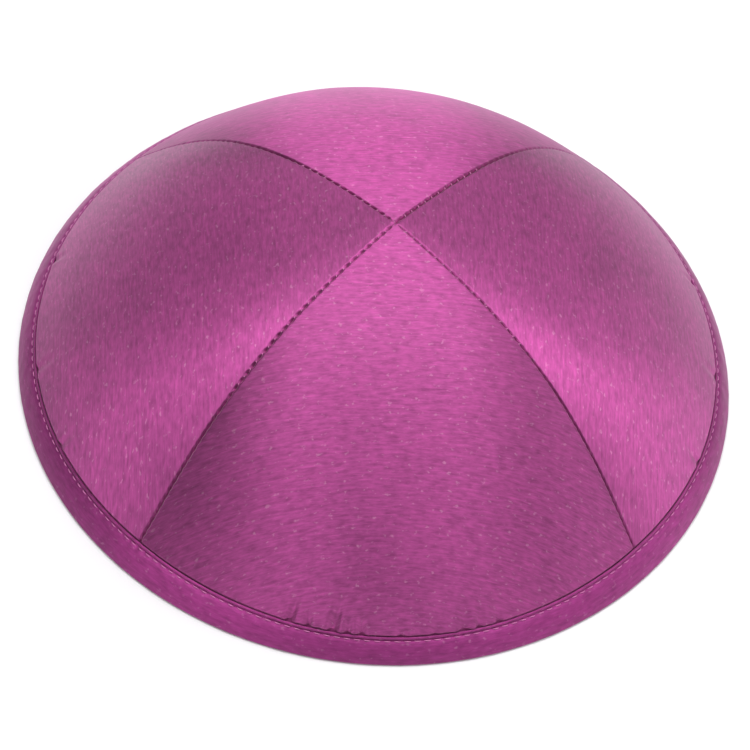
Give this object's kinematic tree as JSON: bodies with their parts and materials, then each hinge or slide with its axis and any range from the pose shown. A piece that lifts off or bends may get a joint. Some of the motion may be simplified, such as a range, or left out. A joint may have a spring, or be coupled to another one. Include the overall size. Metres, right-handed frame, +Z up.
{
  "type": "kippah skullcap",
  "caption": "Satin skullcap: a shallow open dome of sewn gores whose seams cross at the crown, with a satin band folded over the rim.",
  "frame": {"origin": "centre of the rim in the plane it rests on, under the crossing of the seams", "axes": "+Z up through the crown; the front panel looks towards -Y and the right panel towards +X, with the seams halfway between"},
  "size_m": [0.1758, 0.1758, 0.0564],
  "materials": {
    "panel_satin": "satin",
    "band_satin": "satin"
  },
  "bodies": {
    "root": {"panel_front": "panel_satin", "panel_right": "panel_satin", "panel_back": "panel_satin", "panel_left": "panel_satin", "rim_binding": "band_satin"}
  },
  "joints": []
}
